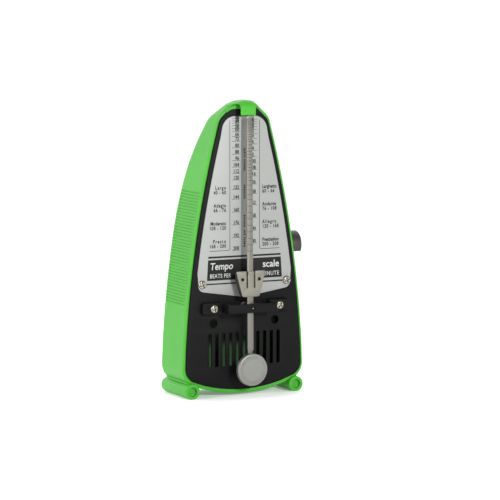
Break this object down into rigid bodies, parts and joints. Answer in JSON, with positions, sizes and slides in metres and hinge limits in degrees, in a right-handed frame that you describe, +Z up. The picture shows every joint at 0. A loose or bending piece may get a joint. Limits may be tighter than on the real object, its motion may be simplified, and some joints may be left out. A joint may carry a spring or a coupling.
{
  "type": "pocket metronome",
  "caption": "Pocket pyramid metronome: green case on two foot tubes, silver tempo dial, swinging pendulum with bob and sliding weight, side winding key and clockwork inside.",
  "frame": {"origin": "middle of the object's footprint, on the surface that it stands on", "axes": "+X to the right across the dial, +Y from the dial to the back, +Z up"},
  "size_m": [0.0741, 0.0426, 0.16],
  "materials": {
    "green_plastic": "satin moulded, bright green",
    "black_plastic": "fine matt moulded",
    "dial_metal": "satin, printed in black",
    "screw_steel": "bright nickel",
    "rod_steel": "brushed, warm nickel",
    "slider_metal": "satin cast",
    "bob_metal": "satin, turned",
    "key_plastic": "satin moulded, warm grey",
    "brass": "turned",
    "blued_steel": "blued",
    "frame_metal": "pressed sheet"
  },
  "bodies": {
    "case": {"housing": "green_plastic", "front_plate": "black_plastic", "scale_plate": "dial_metal", "dial_screws": "screw_steel", "bridge": "black_plastic", "bridge_screws": "screw_steel", "bridge_bush": "black_plastic", "mainspring": "blued_steel", "left_frame_plate": "frame_metal", "right_frame_plate": "frame_metal", "frame_pillars": "brass", "frame_nuts": "brass", "front_bar": "frame_metal", "rear_bar": "frame_metal", "arbor_bushes": "brass", "bar_screws": "screw_steel", "spring_post": "screw_steel"},
    "pendulum": {"pendulum_rod": "rod_steel", "pendulum_hub": "rod_steel", "hub_screw": "screw_steel", "pendulum_arbor": "screw_steel", "pallets": "blued_steel", "bob": "bob_metal", "bob_rivet": "screw_steel"},
    "weight": {"slider_body": "slider_metal", "slider_face": "rod_steel", "slider_rivets": "rod_steel"},
    "great": {"great_wheel": "brass", "click_stud": "screw_steel", "click_spring": "blued_steel"},
    "click_lever": {"click": "blued_steel"},
    "key": {"winding_key": "key_plastic", "key_screw": "screw_steel", "winding_arbor": "screw_steel", "ratchet_wheel": "brass"},
    "second": {"second_arbor": "screw_steel", "second_pinion": "screw_steel", "second_wheel": "brass"},
    "escape": {"escape_arbor": "screw_steel", "escape_pinion": "screw_steel", "escape_wheel": "brass"}
  },
  "joints": [
    {"name": "pendulum_swing", "type": "hinge", "parent": "case", "child": "pendulum", "pos_m": [0, -0.01075, 0.0486], "axis": [0, 1, 0], "range_deg": [-25, 25]},
    {"name": "weight_slide", "type": "slide", "parent": "pendulum", "child": "weight", "axis": [0, 0.0122, 0.9999], "range_m": [0, 0.0815]},
    {"name": "great_wheel_spin", "type": "hinge", "parent": "case", "child": "great", "pos_m": [0, 0.00175, 0.0798], "axis": [1, 0, 0], "continuous": true},
    {"name": "second_wheel_spin", "type": "hinge", "parent": "case", "child": "second", "pos_m": [0, 0.00175, 0.0694], "axis": [1, 0, 0], "continuous": true},
    {"name": "escape_wheel_spin", "type": "hinge", "parent": "case", "child": "escape", "pos_m": [0, 0.00175, 0.061], "axis": [1, 0, 0], "continuous": true},
    {"name": "key_wind", "type": "hinge", "parent": "great", "child": "key", "pos_m": [0, 0.00175, 0.0798], "axis": [1, 0, 0], "continuous": true},
    {"name": "click_lift", "type": "hinge", "parent": "great", "child": "click_lever", "pos_m": [0, 0.00835, 0.0802], "axis": [-1, 0, 0], "range_deg": [0, 9], "stiffness_Nm_per_rad": 0.0005}
  ],
  "couplings": [
    {"joint": "second_wheel_spin", "follows": "great_wheel_spin", "ratio": -5.5},
    {"joint": "escape_wheel_spin", "follows": "great_wheel_spin", "ratio": 27.5}
  ]
}
